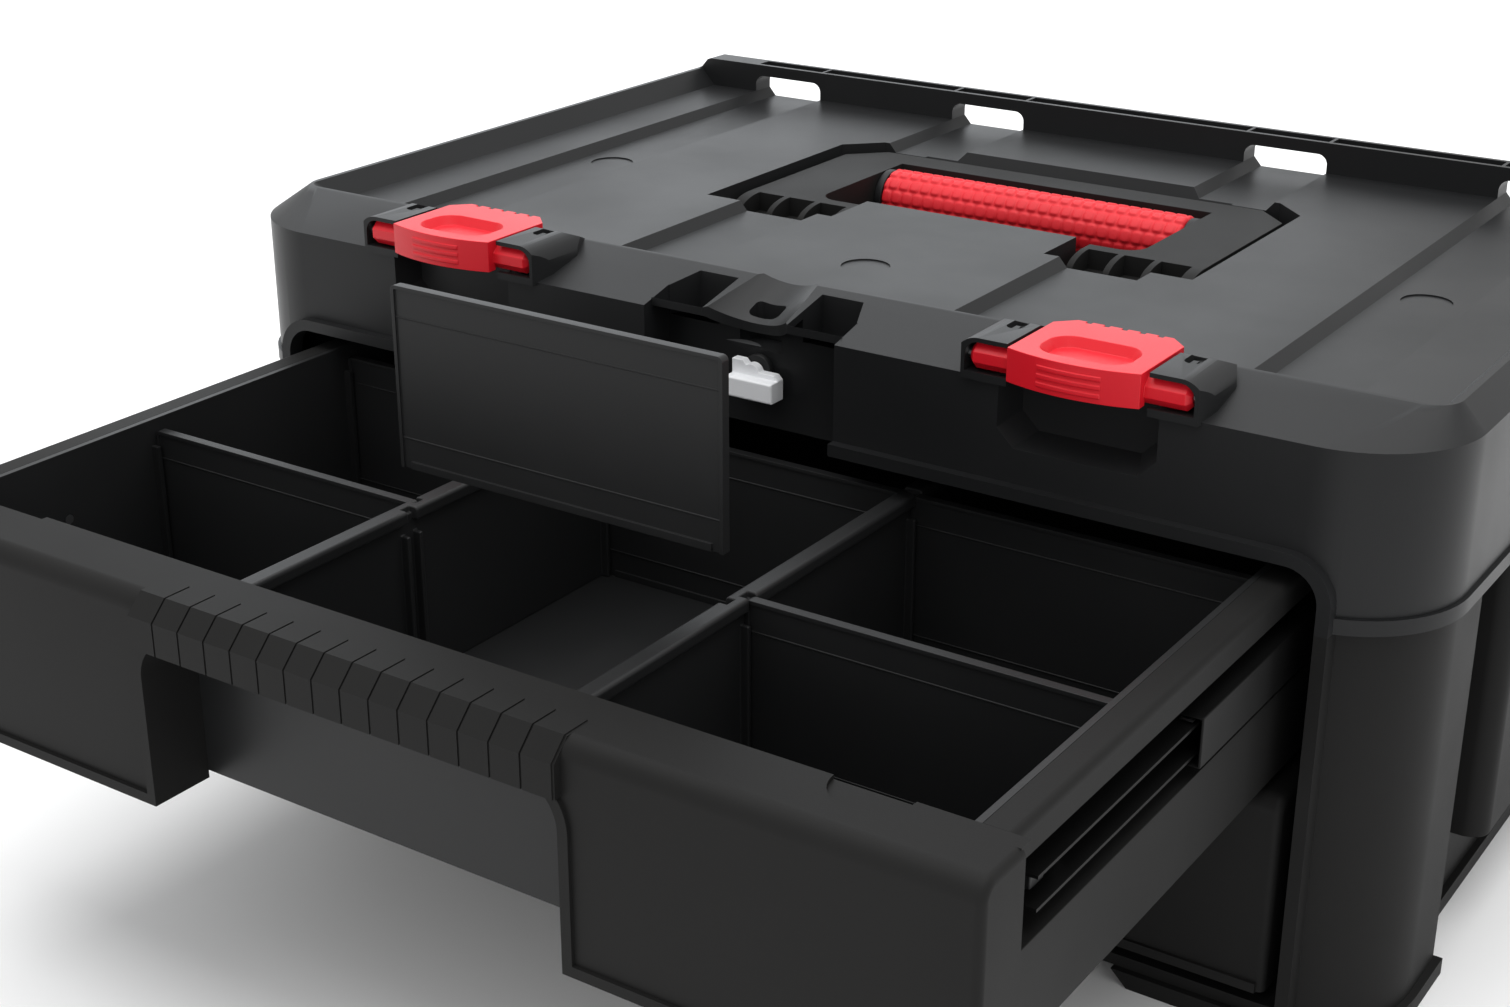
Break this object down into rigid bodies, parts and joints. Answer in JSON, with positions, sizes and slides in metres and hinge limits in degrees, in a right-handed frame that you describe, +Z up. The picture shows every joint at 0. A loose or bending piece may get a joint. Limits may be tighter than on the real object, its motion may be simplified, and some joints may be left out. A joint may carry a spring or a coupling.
{
  "type": "drawer organizer box",
  "caption": "Stackable organizer box: divided drawers on telescopic rails, lid with latches, lock and a folding carry handle, and hooded side handles.",
  "frame": {"origin": "middle of the base, on the surface that the box stands on", "axes": "+Z up, -Y towards the front that the drawers pull out of, +X to the right seen from the front"},
  "size_m": [0.564, 0.605, 0.27],
  "materials": {
    "charcoal_plastic": "fine moulded texture, satin",
    "dark_plastic": "smooth satin moulding",
    "red_plastic": "satin gloss",
    "red_grip": "soft moulded scales",
    "black_rubber": "matte",
    "white_plastic": "satin",
    "black_steel": "black coated, worn bright at the edges",
    "bright_steel": "zinc plated"
  },
  "bodies": {
    "case": {"case_rail_screws": "bright_steel", "handle_pins": "bright_steel", "housing_screws": "bright_steel", "latch_pin_left": "bright_steel", "latch_pin_right": "bright_steel", "lock_boss": "dark_plastic", "lower_case_rail_left": "black_steel", "lower_case_rail_right": "black_steel", "lower_housing": "charcoal_plastic", "side_handle_left": "charcoal_plastic", "side_handle_right": "charcoal_plastic", "upper_case_rail_left": "black_steel", "upper_case_rail_right": "black_steel", "upper_housing": "charcoal_plastic"},
    "latch_left": {"latch_left": "red_plastic"},
    "latch_right": {"latch_right": "red_plastic"},
    "carry_handle": {"handle_frame": "charcoal_plastic", "handle_grip": "red_grip", "grip_collars": "black_rubber"},
    "lock": {"lock_lever": "white_plastic", "lock_spindle": "bright_steel"},
    "upper_middle_rails": {"upper_ball_cages": "bright_steel", "upper_middle_rail_left": "black_steel", "upper_middle_rail_right": "black_steel", "upper_rail_balls": "bright_steel"},
    "lower_middle_rails": {"lower_ball_cages": "bright_steel", "lower_middle_rail_left": "black_steel", "lower_middle_rail_right": "black_steel", "lower_rail_balls": "bright_steel"},
    "upper_drawer": {"upper_drawer_front": "charcoal_plastic", "upper_drawer_rail_left": "black_steel", "upper_drawer_rail_right": "black_steel", "upper_drawer_rail_screws": "bright_steel", "upper_drawer_tub": "dark_plastic", "upper_front_screws": "bright_steel", "upper_long_divider_left": "dark_plastic", "upper_long_divider_right": "dark_plastic", "upper_rear_dividers": "dark_plastic", "upper_release_levers": "dark_plastic", "upper_side_strips_left": "dark_plastic", "upper_side_strips_right": "dark_plastic"},
    "lower_drawer": {"lower_divider_left": "dark_plastic", "lower_divider_middle": "dark_plastic", "lower_divider_right": "dark_plastic", "lower_drawer_front": "charcoal_plastic", "lower_drawer_rail_left": "black_steel", "lower_drawer_rail_right": "black_steel", "lower_drawer_rail_screws": "bright_steel", "lower_drawer_tub": "dark_plastic", "lower_front_screws": "bright_steel", "lower_long_divider_left": "dark_plastic", "lower_long_divider_right": "dark_plastic", "lower_rear_dividers": "dark_plastic", "lower_release_levers": "dark_plastic", "lower_side_strips_left": "dark_plastic", "lower_side_strips_right": "dark_plastic"},
    "upper_divider_left": {"upper_divider_left": "dark_plastic"},
    "upper_divider_middle": {"upper_divider_middle": "dark_plastic"},
    "upper_divider_right": {"upper_divider_right": "dark_plastic"}
  },
  "joints": [
    {"name": "upper_stage_1", "type": "slide", "parent": "case", "child": "upper_middle_rails", "axis": [0, -1, 0], "range_m": [-0.11, 0]},
    {"name": "upper_stage_2", "type": "slide", "parent": "upper_middle_rails", "child": "upper_drawer", "axis": [0, -1, 0], "range_m": [-0.11, 0]},
    {"name": "lower_stage_1", "type": "slide", "parent": "case", "child": "lower_middle_rails", "axis": [0, -1, 0], "range_m": [0, 0.11]},
    {"name": "lower_stage_2", "type": "slide", "parent": "lower_middle_rails", "child": "lower_drawer", "axis": [0, -1, 0], "range_m": [0, 0.11]},
    {"name": "latch_left_hinge", "type": "hinge", "parent": "case", "child": "latch_left", "pos_m": [-0.1474, -0.182, 0.2445], "axis": [1, 0, 0], "range_deg": [0, 100]},
    {"name": "latch_right_hinge", "type": "hinge", "parent": "case", "child": "latch_right", "pos_m": [0.1474, -0.182, 0.2445], "axis": [1, 0, 0], "range_deg": [0, 100]},
    {"name": "carry_handle_hinge", "type": "hinge", "parent": "case", "child": "carry_handle", "pos_m": [0, -0.011, 0.2275], "axis": [1, 0, 0], "range_deg": [0, 90]},
    {"name": "lock_turn", "type": "hinge", "parent": "case", "child": "lock", "pos_m": [0, -0.168, 0.214], "axis": [0, 1, 0], "range_deg": [0, 90]},
    {"name": "middle_divider_lift", "type": "slide", "parent": "upper_drawer", "child": "upper_divider_middle", "axis": [0, 0, 1], "range_m": [-0.0897, 0]},
    {"name": "left_divider_lift", "type": "slide", "parent": "upper_drawer", "child": "upper_divider_left", "axis": [0, 0, 1], "range_m": [0, 0.0897]},
    {"name": "right_divider_lift", "type": "slide", "parent": "upper_drawer", "child": "upper_divider_right", "axis": [0, 0, 1], "range_m": [0, 0.0897]}
  ]
}
